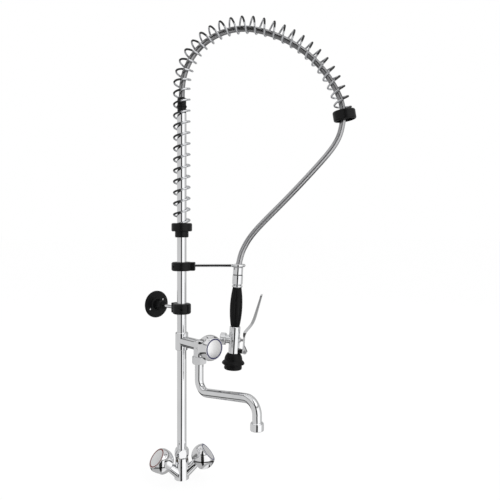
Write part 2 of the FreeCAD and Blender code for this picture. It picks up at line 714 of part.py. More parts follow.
def spring_holder():
    """Stepped collar on the column: a neck with a set screw and a cup for the spring."""
    top = HOLDER_Z + HOLDER_NECK_H + HOLDER_H
    neck = HOLDER_Z + HOLDER_NECK_H
    edge = 2.0
    shape = lathe((0, HOLDER_Z), (HOLDER_NECK_R - 1.5, HOLDER_Z), (HOLDER_NECK_R, HOLDER_Z + 1.5),
                  (HOLDER_NECK_R, neck), (HOLDER_R - edge, neck), (HOLDER_R, neck + edge),
                  (HOLDER_R, top - edge), (HOLDER_R - edge, top), (0, top))
    cup = ring(SPRING_R + SPRING_WIRE_R + SOFT_GAP, COLUMN_R + 2.5, top - SPRING_SEAT, top + 1)
    set_hole = Part.makeCylinder(2.0, HOLDER_NECK_R, Vector(COLUMN_R - 3, 0, HOLDER_Z + HOLDER_NECK_H / 2),
                                 Vector(1, 0, 0))
    return turn(without(shape, rod(COLUMN_R, HOLDER_Z - 1, top + 1), cup, set_hole), ARM_ANGLE)


def spring_holder_screw():
    middle = HOLDER_Z + HOLDER_NECK_H / 2
    reach = HOLDER_NECK_R - COLUMN_R - 0.6
    shape = Part.makeCylinder(2.0, reach, Vector(COLUMN_R, 0, middle), Vector(1, 0, 0))
    recess = Part.makeCylinder(1.2, 2, Vector(HOLDER_NECK_R - 2.6, 0, middle), Vector(1, 0, 0))
    return turn(shape.cut(recess), ARM_ANGLE)


# ---------------------------------------------------------------- spring arch
SPRING_START_Z = HOLDER_Z + HOLDER_NECK_H + HOLDER_H - SPRING_SEAT + SPRING_WIRE_R


def arch_frame(distance):
    """Point, direction and outward normal (reach, height) at a distance along the spring's centreline."""
    straight = ARCH_Z - SPRING_START_Z
    if distance <= straight:
        return (0.0, SPRING_START_Z + distance), (0.0, 1.0), (-1.0, 0.0)
    distance -= straight
    heading = 90.0
    x, z = 0.0, ARCH_Z
    for radius, angle in ((ARCH_R1, ARCH_TURN1), (ARCH_R2, ARCH_TURN2)):
        here = min(math.degrees(distance / radius), angle)
        h0 = math.radians(heading)
        h1 = math.radians(heading - here)
        cx, cz = x + radius * math.sin(h0), z - radius * math.cos(h0)
        x, z = cx - radius * math.sin(h1), cz + radius * math.cos(h1)
        heading -= here
        distance -= radius * math.radians(here)
    h = math.radians(heading)
    x += distance * math.cos(h)
    z += distance * math.sin(h)
    return (x, z), (math.cos(h), math.sin(h)), (-math.sin(h), math.cos(h))


ARC_LENGTH = ARCH_R1 * math.radians(ARCH_TURN1) + ARCH_R2 * math.radians(ARCH_TURN2)
STRAIGHT_LENGTH = ARCH_Z - SPRING_START_Z
SPRING_LENGTH = STRAIGHT_LENGTH + ARC_LENGTH


def spring_turns(distance):
    """Turns of wire wound up to a distance along the centreline."""
    if distance <= STRAIGHT_LENGTH:
        return distance / SPRING_PITCH
    return STRAIGHT_LENGTH / SPRING_PITCH + (distance - STRAIGHT_LENGTH) / SPRING_ARC_PITCH


def spring_distance(turns):
    """Distance along the centreline after a number of turns."""
    on_column = STRAIGHT_LENGTH / SPRING_PITCH
    if turns <= on_column:
        return turns * SPRING_PITCH
    return STRAIGHT_LENGTH + (turns - on_column) * SPRING_ARC_PITCH


def spring():
    """Open-wound compression spring, right-handed, bent over the arch."""
    steps = int(spring_turns(SPRING_LENGTH) * SPRING_STEPS)
    side = Vector(0, 1, 0)
    points = []
    for i in range(steps + 1):
        (x, z), _, (nx, nz) = arch_frame(spring_distance(i / SPRING_STEPS))
        angle = 2 * math.pi * i / SPRING_STEPS + math.radians(SPRING_PHASE)
        outward = Vector(nx, 0, nz) * (SPRING_R * math.cos(angle))
        points.append(Vector(x, 0, z) + outward - side * (SPRING_R * math.sin(angle)))
    return turn(faceted_rod(points, SPRING_WIRE_R, SPRING_SIDES), ARM_ANGLE)


def collar_origin():
    """Lower end of the spring, and the direction in which the spring leaves."""
    (x, z), (dx, dz), _ = arch_frame(SPRING_LENGTH)
    return Vector(x, 0, z), Vector(dx, 0, dz)


def spring_end_collar():
    """Cup on the spring's free end, with a wide mouth for the hose."""
    end, direction = collar_origin()
    shape = rounded_puck(COLLAR_R, 0, COLLAR_L, COLLAR_EDGE)
    shape = shape.cut([rod(SPRING_R + SPRING_WIRE_R + SOFT_GAP, -1, COLLAR_SEAT + SPRING_WIRE_R + SOFT_GAP),
                       rod(COLLAR_MOUTH_R, COLLAR_L - COLLAR_MOUTH_DEPTH, COLLAR_L + 1),
                       rod(COLLAR_HOLE_R, -1, COLLAR_L + 1)])
    return turn(aim(shape, end - direction * COLLAR_SEAT, direction), ARM_ANGLE)


# ---------------------------------------------------------------- hoses
COUPLING_TOP_Z = COLUMN_TOP_Z + COUPLING_H


def hose_coupling():
    """The crimped coupling that joins the hose to the top of the column."""
    z = COLUMN_TOP_Z
    bore = COLUMN_R - COLUMN_WALL
    shape = lathe((0, z - SOCKET_DEPTH), (bore, z - SOCKET_DEPTH), (bore, z), (COUPLING_R, z),
                  (COUPLING_R, z + 13), (COUPLING_RIB_R, z + 14.5), (COUPLING_RIB_R, z + 17.5),
                  (COUPLING_R, z + 19), (COUPLING_R, z + COUPLING_H - 3), (HOSE_R + 0.8, z + COUPLING_H),
                  (0, z + COUPLING_H))
    return shape.cut(rod(4.5, z - SOCKET_DEPTH - 1, z + COUPLING_H + 1))


def hose_arcs():
    """Arc points of the hose round the inside of the arch, in the arch's plane."""
    x, z, heading = 0.0, HOSE_ARCH_Z, 90.0
    arcs = []
    for radius, angle in HOSE_ARCS:
        h0 = math.radians(heading)
        cx, cz = x + radius * math.sin(h0), z - radius * math.cos(h0)
        points = []
        for part in (0.5, 1.0):
            h1 = math.radians(heading - angle * part)
            points.append((cx - radius * math.sin(h1), cz + radius * math.cos(h1)))
        arcs.append((points[0], points[1]))
        x, z = points[1]
        heading -= angle
    return arcs, heading


def hose_in_spring():
    """The hose from the coupling, round the inside of the arch, to the spring's collar."""
    arcs, heading = hose_arcs()
    edges = edges_through((0.0, COUPLING_TOP_Z), [(0.0, HOSE_ARCH_Z)] + arcs)
    leaves = [round(value, 1) for value in arcs[-1][1]]
    print("hose leaves the spring at", leaves, "heading", round(heading, 1))
    print("hose in the spring, length", round(sum(edge.Length for edge in edges), 1))
    return turn(pipe(edges, HOSE_R), ARM_ANGLE)


# the free hose, reach from the column axis and height, between the collar and the ferrule
FREE_HOSE = ((373.5, 813.0), (362.0, 785.0), (340.0, 755.0), (291.0, 701.0), (240.0, 647.5), (190.0, 598.0),
             (162.5, 567.5), (145.5, 540.0), (135.9, 515.0))
HOSE_INSERT = 4.0           # how deep the hose sits in the ferrule


def hose_free():
    """The stretch that hangs in the air, from the spring's collar down to the gun."""
    arcs, _ = hose_arcs()
    lean = math.radians(GUN_LEAN)
    last = (FERRULE_REACH - HOSE_INSERT * math.sin(lean), FERRULE_TOP_Z - HOSE_INSERT * math.cos(lean))
    route = [Vector(x, 0, z) for x, z in (arcs[-1][1],) + FREE_HOSE + (last,)]
    edges = rounded_route(route, label="free hose")
    print("free hose, route", [(round(point.x, 1), round(point.z, 1)) for point in route])
    length = sum(edge.Length for edge in edges)
    solid = pipe(edges, HOSE_R)
    print("free hose, length %.1f, volume %.0f, section times length %.0f"
          % (length, solid.Volume, math.pi * HOSE_R ** 2 * length))
    return turn(solid, ARM_ANGLE)


# ---------------------------------------------------------------- spray gun
FERRULE_REACH = HOOK_REACH - 0.2
RIM_UNDER_RING = HOOK_ROD_Z - math.sqrt(HOOK_ROD_R ** 2 - (HOOK_RING_R - FERRULE_R) ** 2)
FERRULE_TOP_Z = RIM_UNDER_RING - FERRULE_R * math.sin(math.radians(GUN_LEAN)) - SOFT_GAP
SWIVEL_R = 6.5
SWIVEL_L = 12.0
GUN_BORE_R = 6.0


def gun_lathe(start, *steps):
    """A turned piece of the gun from (radius, distance below the ferrule's top)."""
    def flip(step):
        if isinstance(step[0], tuple):
            return tuple((r, -t) for r, t in step)
        return (step[0], -step[1])
    return lathe(flip(start), *[flip(step) for step in steps])


def place_gun(shape):
    """Carry a piece drawn along the gun's upright axis to where the gun hangs."""
    moved = shape.copy()
    moved.rotate(Vector(), UP, GUN_TURN)
    moved.rotate(Vector(), Vector(0, 1, 0), GUN_LEAN)
    moved.translate(Vector(FERRULE_REACH, 0, FERRULE_TOP_Z))
    return turn(moved, ARM_ANGLE)


def across_gun(shape, distance):
    """Lay a shape drawn along Z along the gun's +X, at a distance below the ferrule's top."""
    return aim(shape, Vector(0, 0, -distance), Vector(1, 0, 0))


def hose_ferrule():
    """The fixed half of the swivel, crimped on the hose, with a stub for the turning half."""
    shape = gun_lathe((0, 0), (FERRULE_R - 1, 0), (FERRULE_R, 1), (FERRULE_R, FERRULE_H - 0.6),
                      (FERRULE_R - 0.6, FERRULE_H), (SWIVEL_R, FERRULE_H), (SWIVEL_R, FERRULE_H + SWIVEL_L),
                      (0, FERRULE_H + SWIVEL_L))
    return shape.cut([rod(HOSE_R, -5, 1), rod(4.5, -FERRULE_H - SWIVEL_L - 1, 0)])


SEAL_T = FERRULE_H + 0.15
LOWER_T = FERRULE_H + SEAL_H


def swivel_ferrule():
    """The turning half of the swivel, its neck and the flange that ends the grip."""
    end = LOWER_T + LOWER_FERRULE_H
    tail = FLANGE_T + FLANGE_H
    shape = gun_lathe((0, LOWER_T), (LOWER_FERRULE_R - 0.6, LOWER_T), (LOWER_FERRULE_R, LOWER_T + 0.6),
                      (LOWER_FERRULE_R, end), (NECK_R, end + 2), (NECK_R, FLANGE_T),
                      (FLANGE_R - 1, FLANGE_T), ((FLANGE_R, (FLANGE_T + tail) / 2), (FLANGE_R - 1, tail)),
                      (0, tail))
    stub = rod(SWIVEL_R + RUNNING, -LOWER_T - SWIVEL_L, -LOWER_T + 1)
    waterway = rod(GUN_BORE_R - 1, -tail - 1, -LOWER_T)
    return shape.cut([stub, waterway, rod(GRIP_CORE_R, -tail - 1, -tail + 5)])


def swivel_seal():
    return ring(SEAL_R, SWIVEL_R + RUNNING, -LOWER_T, -SEAL_T)


def handle_core():
    """The tube through the grip that joins the swivel to the valve body."""
    return ring(GRIP_CORE_R, GRIP_CORE_R - 2, -BODY_T - 6, -FLANGE_T - FLANGE_H + 5)


def grip():
    """Barrel-shaped moulded grip with flutes that follow its bulge."""
    end = GRIP_T + GRIP_H
    middle = GRIP_T + GRIP_H / 2
    shape = gun_lathe((0, GRIP_T), (GRIP_END_R, GRIP_T), ((GRIP_MID_R, middle), (GRIP_END_R, end)), (0, end))
    inset = 0.6
    a = Vector(GRIP_END_R + inset, 0, -GRIP_T + 0.5)
    b = Vector(GRIP_MID_R + inset, 0, -middle)
    c = Vector(GRIP_END_R + inset, 0, -end - 0.5)
    flute = pipe([Part.Arc(a, b, c).toShape()], FLUTE_R)
    cutters = []
    for i in range(GRIP_FLUTES):
        copy = flute.copy()
        copy.rotate(Vector(), UP, 360.0 * i / GRIP_FLUTES)
        cutters.append(copy)
    return shape.cut(cutters).cut(rod(GRIP_CORE_R, -end - 1, 0))


def gun_body():
    """The valve body: barrel, side branch for the valve, and gland for the push stem."""
    barrel = gun_lathe((0, BODY_T), (BODY_R - 0.8, BODY_T), (BODY_R, BODY_T + 0.8), (BODY_R, HEAD_T),
                       (0, HEAD_T))
    branch = across_gun(rod(VALVE_BARREL_R, -VALVE_CAP_START, 0), VALVE_T)
    gland = across_gun(hexagon(GLAND_R * 1.7, BODY_R - 2, BODY_R + GLAND_OUT, 0.6), VALVE_T)
    body = barrel.fuse([branch, gland]).removeSplitter()
    chamber = across_gun(rod(WATERWAY_R, -VALVE_CAP_START - 1, GUN_BORE_R + 1), VALVE_T)
    stem = across_gun(rod(PLUNGER_R + RUNNING, 0, BODY_R + GLAND_OUT + 1), VALVE_T)
    return without(body, chamber, stem, rod(GRIP_CORE_R, -BODY_T - 6, -BODY_T + 1),
                   rod(GUN_BORE_R - 1, -VALVE_T, -BODY_T), rod(GUN_BORE_R, -HEAD_T - 1, -VALVE_T))


def valve_cap():
    """Domed cap on the side branch, screwed into the valve chamber."""
    cap = rounded_puck(VALVE_CAP_R, VALVE_CAP_START, VALVE_CAP_START + VALVE_CAP_L, 2.0)
    cap = cap.fuse(rod(WATERWAY_R, VALVE_CAP_START - 3.5, VALVE_CAP_START + 1))
    return aim(cap, Vector(0, 0, -VALVE_T), Vector(-1, 0, 0))


LEVER_FACE = PIVOT_REACH - 4.0      # inner face of the lever's web


def plunger():
    """The push stem with its valve disc; the lever's web presses its domed end."""
    tip = LEVER_FACE - SOFT_GAP
    stem = lathe((0, -9), (PLUNGER_R, -9), (PLUNGER_R, tip - 1.5), dome(PLUNGER_R, tip - 1.5, 1.5))
    disc = rod(WATERWAY_R - 0.6, -3, 1)
    return across_gun(stem.fuse(disc), VALVE_T)


def across_pivot(radius, length):
    """A cylinder along the lever's hinge axis, centred on the gun."""
    return Part.makeCylinder(radius, length, Vector(PIVOT_REACH, -length / 2, -PIVOT_T), Vector(0, 1, 0))


def lever_yoke():
    """Plastic saddle on the valve body with the tongue that carries the lever's pin."""
    saddle = Part.makeBox(6, SADDLE_W, SADDLE_H, Vector(BODY_R - 3, -SADDLE_W / 2, -PIVOT_T - SADDLE_H / 2))
    tongue = Part.makeBox(PIVOT_REACH - BODY_R, TONGUE_W, 2 * TONGUE_R,
                          Vector(BODY_R, -TONGUE_W / 2, -PIVOT_T - TONGUE_R))
    shape = saddle.fuse([tongue, across_pivot(TONGUE_R, TONGUE_W)]).removeSplitter()
    return shape.cut([rod(BODY_R, -HEAD_T - 10, -BODY_T), across_pivot(PIN_R, TONGUE_W + 2)])


EAR_OUT = TONGUE_W / 2 + SOFT_GAP + LEVER_EAR_T


def pivot_pin():
    """Slotted rivet pin through the lever's two ears and the tongue."""
    inner = EAR_OUT + SOFT_GAP
    shape = across_pivot(PIN_R, 2 * inner)
    for side in (-1, 1):
        start = Vector(PIVOT_REACH, side * inner, -PIVOT_T)
        shape = shape.fuse(Part.makeCylinder(PIN_HEAD_R, PIN_HEAD_H, start, Vector(0, side, 0)))
    corner = Vector(PIVOT_REACH - PIN_HEAD_R - 0.5, -inner - 1.6 * PIN_HEAD_H, -PIVOT_T - PIN_SLOT_W / 2)
    slot = Part.makeBox(2 * PIN_HEAD_R + 1, PIN_HEAD_H, PIN_SLOT_W, corner)
    return shape.cut(slot)


def lever_front(inset):
    """The lever's front outline as a prism along X: widest beside the valve, round at its tip."""
    half_w = LEVER_MID_W / 2 - inset
    tip_w = LEVER_TOP_W / 2 - inset
    tip_t = LEVER_SIDE[0][0] + inset
    left = [(EAR_OUT - inset, LEVER_EAR_END), (EAR_OUT - inset, LEVER_EAR_TOP),
            (half_w - 0.5, LEVER_WAIST[0]), (half_w, LEVER_WAIST[1]), (tip_w, tip_t + tip_w)]
    outline = [Vector(0, -w, -t) for w, t in left]
    mirror = [Vector(0, -point.y, point.z) for point in reversed(outline)]
    edges = [Part.LineSegment(p, q).toShape() for p, q in zip(outline, outline[1:])]
    edges.append(Part.Arc(outline[-1], Vector(0, 0, -tip_t), mirror[0]).toShape())
    edges += [Part.LineSegment(p, q).toShape() for p, q in zip(mirror, mirror[1:])]
    edges.append(Part.LineSegment(mirror[-1], outline[0]).toShape())
    return Part.Face(Part.Wire(edges)).extrude(Vector(100, 0, 0))


def lever_profile(outer, inner):
    """A prism across the gun between two smooth lines of (distance down, reach)."""
    edges = []
    for line in (outer, inner):
        curve = Part.BSplineCurve()
        curve.interpolate([Vector(x, 0, -t) for t, x in line])
        edges.append(curve.toShape())
    for end in (0, -1):
        edges.append(Part.LineSegment(Vector(outer[end][1], 0, -outer[end][0]),
                                      Vector(inner[end][1], 0, -inner[end][0])).toShape())
    face = Part.Face(Part.Wire(Part.__sortEdges__(edges)))
    face.translate(Vector(0, -LEVER_MID_W, 0))
    return face.extrude(Vector(0, 2 * LEVER_MID_W, 0))


def lever():
    """Pressed channel along the grip, folded into two ears at the pivot."""
    full = lever_profile([(t, outer) for t, outer, _ in LEVER_SIDE],
                         [(t, inner) for t, _, inner in LEVER_SIDE])
    hollow = lever_profile([(t, outer - LEVER_WEB) for t, outer, _ in LEVER_SIDE],
                           [(t, inner - 12.0) for t, _, inner in LEVER_SIDE])
    shape = full.common(lever_front(0)).cut(hollow.common(lever_front(LEVER_WALL)))
    ear_top = -(LEVER_EAR_TOP - 2.0)
    ear_edges = edges_through((LEVER_FACE - 0.4, ear_top),
                              [(LEVER_FACE - 0.8, -(LEVER_EAR_END + 2.0)),
                               (PIVOT_REACH - LEVER_EYE_R, -PIVOT_T),
                               ((PIVOT_REACH, -PIVOT_T - LEVER_EYE_R),
                                (PIVOT_REACH + LEVER_EYE_R, -PIVOT_T)),
                               (LEVER_FACE + LEVER_WEB, -(LEVER_EAR_END - 2.0)),
                               (LEVER_FACE + LEVER_WEB, ear_top), (LEVER_FACE - 0.4, ear_top)])
    for side in (-1, 1):
        ear = Part.Face(Part.Wire(ear_edges)).extrude(Vector(0, side * LEVER_EAR_T, 0))
        ear.translate(Vector(0, side * (EAR_OUT - LEVER_EAR_T), 0))
        shape = shape.fuse(ear)
    return shape.removeSplitter().cut(across_pivot(PIN_R + RUNNING, 4 * EAR_OUT))


def spray_head():
    """Rubber bumper: domed shoulder, projecting lip, skirt and the well of the spray face."""
    dome_t = HEAD_T + HEAD_DOME_H
    lip_t = HEAD_T + HEAD_LIP_DROP
    skirt_t = HEAD_T + HEAD_SKIRT_DROP
    end = HEAD_T + HEAD_H
    shape = gun_lathe((0, HEAD_T), (HEAD_TOP_R, HEAD_T),
                      ((HEAD_DOME_R - 1.9, HEAD_T + 7.5), (HEAD_DOME_R, dome_t)),
                      ((HEAD_LIP_R - 2.9, lip_t - 4.4), (HEAD_LIP_R - 0.9, lip_t - 2.0)),
                      ((HEAD_LIP_R, lip_t), (HEAD_LIP_R - 0.9, lip_t + 2.0)),
                      (HEAD_SKIRT_R - 0.6, skirt_t), (HEAD_SKIRT_R, end - 3),
                      ((HEAD_SKIRT_R - 0.9, end - 0.9), (HEAD_SKIRT_R - 3, end)), (0, end))
    return shape.cut([rod(HEAD_BORE_R, -end - 1, -end + 10), rod(GUN_BORE_R, -end + 9, -HEAD_T + 1)])


def spray_face():
    """Metal rose with three rings of jets, seated in the bumper's well."""
    low = -HEAD_T - HEAD_H + 2.5
    shape = rod(HEAD_BORE_R, low, low + SPRAY_FACE_H)
    holes = [Part.makeCylinder(SPRAY_HOLE_R, SPRAY_FACE_H + 2, Vector(0, 0, low - 1))]
    for count, radius in ((6, 6.0), (10, 12.0)):
        for i in range(count):
            angle = 2 * math.pi * i / count
            spot = Vector(radius * math.cos(angle), radius * math.sin(angle), low - 1)
            holes.append(Part.makeCylinder(SPRAY_HOLE_R, SPRAY_FACE_H + 2, spot))
    return shape.cut(holes)


# ---------------------------------------------------------------- build
os.makedirs("parts", exist_ok=True)

export("base_body", turn(mixer_body(), BASE_TURN))
export("base_gasket", ring(GASKET_R + GASKET_W / 2, GASKET_R - GASKET_W / 2, 0, GASKET_W))
export("column_nut", turn(foot_nut(), BASE_TURN))
for prefix, side in (("hot", -1), ("cold", 1)):
    direction = turn(Part.Vertex(handle_direction(side)), BASE_TURN).Point
    knob_set(prefix, HANDLE_CENTRE + direction * (HANDLE_REACH - KNOB_LEN), direction, 45.0 * side)

export("lower_column", lower_column())
export("upper_column", upper_column())
export("tee_body", tee_body())
export("spout_nut", spout_nut())
knob_set("spout", Vector(0, -(SPOUT_AXIS_REACH + VALVE_MOUTH + KNOB_GAP), TEE_Z), Vector(0, -1, 0), 0.0)

export("spout_pipe", spout_pipe())
export("spout_bush", spout_bush())
export("aerator_housing", aerator_housing())
export("aerator_insert", aerator_insert())

wall_clamp_pieces()
export("wall_flange", wall_flange())
hook_pieces()
export("spring_holder", spring_holder())
export("spring_holder_screw", spring_holder_screw())

export("spring", spring())
export("spring_end_collar", spring_end_collar())
export("hose_coupling", hose_coupling())
export("hose_in_spring", hose_in_spring())
export("hose_free", hose_free())

GUN_PIECES = {"hose_ferrule": hose_ferrule, "swivel_ferrule": swivel_ferrule, "swivel_seal": swivel_seal,
              "handle_core": handle_core, "grip": grip, "gun_body": gun_body, "valve_cap": valve_cap,
              "plunger": plunger, "lever_yoke": lever_yoke, "pivot_pin": pivot_pin, "lever": lever,
              "spray_head": spray_head, "spray_face": spray_face}
for name, make in GUN_PIECES.items():
    export(name, place_gun(make()))
print(total[0], "sub-parts")
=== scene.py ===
"""Looks of a deck-mounted pre-rinse mixer tap with a sprung hose arch and a spray gun.

Every length is in metres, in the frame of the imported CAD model: Z is up the column, +Y is the wall, and
the spring arch, the hook arm and the spray gun lie in one upright plane through the column.
"""

import logging
import math
from dataclasses import dataclass, field
from enum import Enum
from typing import Any

import bmesh
import bpy
from mathutils import Matrix, Vector


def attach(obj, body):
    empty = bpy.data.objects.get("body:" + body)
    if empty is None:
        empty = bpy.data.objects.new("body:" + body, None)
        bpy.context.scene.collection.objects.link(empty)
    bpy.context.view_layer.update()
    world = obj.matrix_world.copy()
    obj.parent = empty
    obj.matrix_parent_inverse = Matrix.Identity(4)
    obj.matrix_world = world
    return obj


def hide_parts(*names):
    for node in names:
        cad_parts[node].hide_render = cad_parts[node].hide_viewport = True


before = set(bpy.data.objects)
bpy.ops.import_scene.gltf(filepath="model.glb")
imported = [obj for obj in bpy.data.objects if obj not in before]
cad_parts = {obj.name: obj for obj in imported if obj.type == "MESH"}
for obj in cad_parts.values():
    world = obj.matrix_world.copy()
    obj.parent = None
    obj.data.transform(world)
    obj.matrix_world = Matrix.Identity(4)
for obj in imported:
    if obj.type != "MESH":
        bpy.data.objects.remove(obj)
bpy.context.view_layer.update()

LOG = logging.getLogger("pre_rinse_tap")
ARM_TURN = -44.0                    # degrees from +X to the arch's plane
ARM_ANGLE = math.radians(ARM_TURN)
WELD_REACH = 0.000004               # loose corners of a CAD mesh closer than this are joined
UP = Vector((0.0, 0.0, 1.0))


class Body(Enum):
    """The moving bodies of the model."""

    COLUMN = "column"
    HOT = "hot_handle"
    COLD = "cold_handle"
    SPOUT_VALVE = "spout_handle"
    SPOUT = "spout"
    GUN = "gun"
    LEVER = "lever"
    PLUNGER = "plunger"


# ---------------------------------------------------------------- shader tools
class Value:
    """A number that changes over a surface, written as an ordinary expression."""

    def __init__(self, graph: "Graph", socket: bpy.types.NodeSocket) -> None:
        """Wrap a socket of a graph.

        Args:
            graph: the material being built.
            socket: the output that carries the number.
        """
        self.graph = graph
        self.socket = socket

    def maths(self, operation: str, *others: Any, first: bool = True) -> "Value":
        """Add a Math node.

        Args:
            operation: the node's operation.
            others: the other operands, numbers or values.
            first: whether this value is the first operand.

        Returns:
            The result as a new value.
        """
        operands = [self, *others] if first else [*others, self]
        inputs = {index: operand for index, operand in enumerate(operands)}
        made = self.graph.node("ShaderNodeMath", {"operation": operation}, inputs)
        return Value(self.graph, made.outputs[0])

    def __add__(self, other: Any) -> "Value":
        """Sum."""
        return self.maths("ADD", other)

    __radd__ = __add__

    def __sub__(self, other: Any) -> "Value":
        """Difference."""
        return self.maths("SUBTRACT", other)

    def __rsub__(self, other: Any) -> "Value":
        """Difference, with this value taken away."""
        return self.maths("SUBTRACT", other, first=False)

    def __mul__(self, other: Any) -> "Value":
        """Product."""
        return self.maths("MULTIPLY", other)

    __rmul__ = __mul__

    def sine(self) -> "Value":
        """Sine of an angle in radians."""
        return self.maths("SINE")

    def higher(self, other: Any) -> "Value":
        """The higher of two."""
        return self.maths("MAXIMUM", other)

    def power(self, exponent: float) -> "Value":
        """This value to a power."""
        return self.maths("POWER", exponent)

    def size(self) -> "Value":
        """Absolute value."""
        return self.maths("ABSOLUTE")

    def ramp(self, low: float, high: float, out_low: float = 0.0, out_high: float = 1.0) -> "Value":
        """Smooth step from one range to another.

        Args:
            low: where the step starts.
            high: where it ends.
            out_low: result below the start.
            out_high: result above the end.

        Returns:
            The stepped value.
        """
        made = self.graph.node("ShaderNodeMapRange", {"interpolation_type": "SMOOTHSTEP"},
                               {"Value": self, "From Min": low, "From Max": high,
                                "To Min": out_low, "To Max": out_high})
        return Value(self.graph, made.outputs[0])


class Graph:
    """The nodes of one material or of the world."""

    def __init__(self, tree: bpy.types.NodeTree) -> None:
        """Start from an empty tree.

        Args:
            tree: the node tree to fill.
        """
        self.tree = tree
        tree.nodes.clear()

    def node(self, kind: str, settings: dict[str, Any] | None = None,
             inputs: dict[Any, Any] | None = None) -> bpy.types.Node:
        """Add a node.

        Args:
            kind: the node's type.
            settings: its properties, set before its sockets; "stops" fills a colour ramp.
            inputs: numbers, colours, values or sockets by input name or index.

        Returns:
            The node.
        """
        made = self.tree.nodes.new(kind)
        for name, setting in (settings or {}).items():
            if name == "stops":
                self.fill_ramp(made.color_ramp, setting)
            else:
                setattr(made, name, setting)
        for name, given in (inputs or {}).items():
            if isinstance(given, Value):
                given = given.socket
            if isinstance(given, bpy.types.NodeSocket):
                self.tree.links.new(given, made.inputs[name])
            else:
                made.inputs[name].default_value = given
        return made

    @staticmethod
    def fill_ramp(ramp: bpy.types.ColorRamp, stops: list[tuple[float, float]]) -> None:
        """Set a grey ramp's stops.

        Args:
            ramp: the colour ramp.
            stops: position and brightness of each stop.
        """
        while len(ramp.elements) < len(stops):
            ramp.elements.new(0.5)
        for element, (position, grey) in zip(ramp.elements, stops):
            element.position = position
            element.color = (grey, grey, grey, 1.0)

    def value(self, kind: str, settings: dict[str, Any], inputs: dict[Any, Any], output: Any = 0) -> Value:
        """Add a node and wrap one of its outputs.

        Args:
            kind: the node's type.
            settings: its properties.
            inputs: its inputs.
            output: name or index of the output.

        Returns:
            The output as a value.
        """
        return Value(self, self.node(kind, settings, inputs).outputs[output])

    def place(self, coordinates: str = "Object") -> bpy.types.NodeSocket:
        """Coordinates on the piece: its own space, or its UV map."""
        return self.node("ShaderNodeTexCoord").outputs[coordinates]

    def noise(self, scale: float, detail: float = 3.0, coordinates: str = "Object",
              stretch: tuple[float, float, float] = (1.0, 1.0, 1.0)) -> Value:
        """Noise from 0 to 1 over the piece.

        Args:
            scale: how fine it is, per metre.
            detail: number of finer layers.
            coordinates: "Object" or "UV".
            stretch: scale along each axis.

        Returns:
            The noise value.
        """
        mapping = self.node("ShaderNodeMapping", {}, {"Vector": self.place(coordinates), "Scale": stretch})
        return self.value("ShaderNodeTexNoise", {}, {"Vector": mapping.outputs[0], "Scale": scale,
                                                     "Detail": detail})

    def blend(self, amount: Value, low: tuple[float, float, float],
              high: tuple[float, float, float]) -> bpy.types.NodeSocket:
        """Colour between two, by an amount from 0 to 1."""
        made = self.node("ShaderNodeMix", {"data_type": "RGBA"},
                         {0: amount, 6: (*low, 1.0), 7: (*high, 1.0)})
        return made.outputs[2]

    def bump(self, height: Value, depth: float, strength: float = 1.0) -> bpy.types.NodeSocket:
        """Normal raised by a height.

        Args:
            height: 0 to 1 over the surface.
            depth: how high 1 stands, in metres.
            strength: share of the effect.

        Returns:
            The normal.
        """
        made = self.node("ShaderNodeBump", {}, {"Height": height, "Distance": depth, "Strength": strength})
        return made.outputs[0]

    def surface(self, inputs: dict[str, Any]) -> None:
        """Close the graph with one Principled shader."""
        shader = self.node("ShaderNodeBsdfPrincipled", {}, inputs)
        self.node("ShaderNodeOutputMaterial", {}, {"Surface": shader.outputs[0]})


# ---------------------------------------------------------------- finishes
@dataclass(frozen=True)
class Finish:
    """A surface finish: each kind fills the graph of one material."""

    name: str
    slot: str
    colour: tuple[float, float, float]
    roughness: float

    def fill(self, graph: Graph) -> None:
        """Lay the finish's nodes into a graph."""
        raise NotImplementedError

    def material(self) -> bpy.types.Material:
        """The finish's material, made once."""
        name = f"{self.name}_finish"
        found = bpy.data.materials.get(name)
        if found is None:
            found = bpy.data.materials.new(name)
            found.use_nodes = True
            self.fill(Graph(found.node_tree))
        return found


@dataclass(frozen=True)
class Chrome(Finish):
    """Plated metal with faint wiping marks and a soft orange-peel ripple."""

    smear: float = 0.05
    ripple: float = 0.00002

    def fill(self, graph: Graph) -> None:
        """Lay the finish's nodes into a graph."""
        smear = graph.noise(38.0, 4.0, stretch=(1.0, 1.0, 0.35))
        spots = graph.noise(420.0, 2.0)
        wiped = smear.ramp(0.42, 0.72) * self.smear + spots.ramp(0.62, 0.8) * (self.smear * 0.5)
        shade = tuple(channel * 0.93 for channel in self.colour)
        graph.surface({
            "Base Color": graph.blend(smear.ramp(0.35, 0.75), self.colour, shade),
            "Metallic": 1.0,
            "Roughness": wiped + self.roughness,
            "Normal": graph.bump(graph.noise(160.0, 2.0), self.ripple, 0.6),
        })


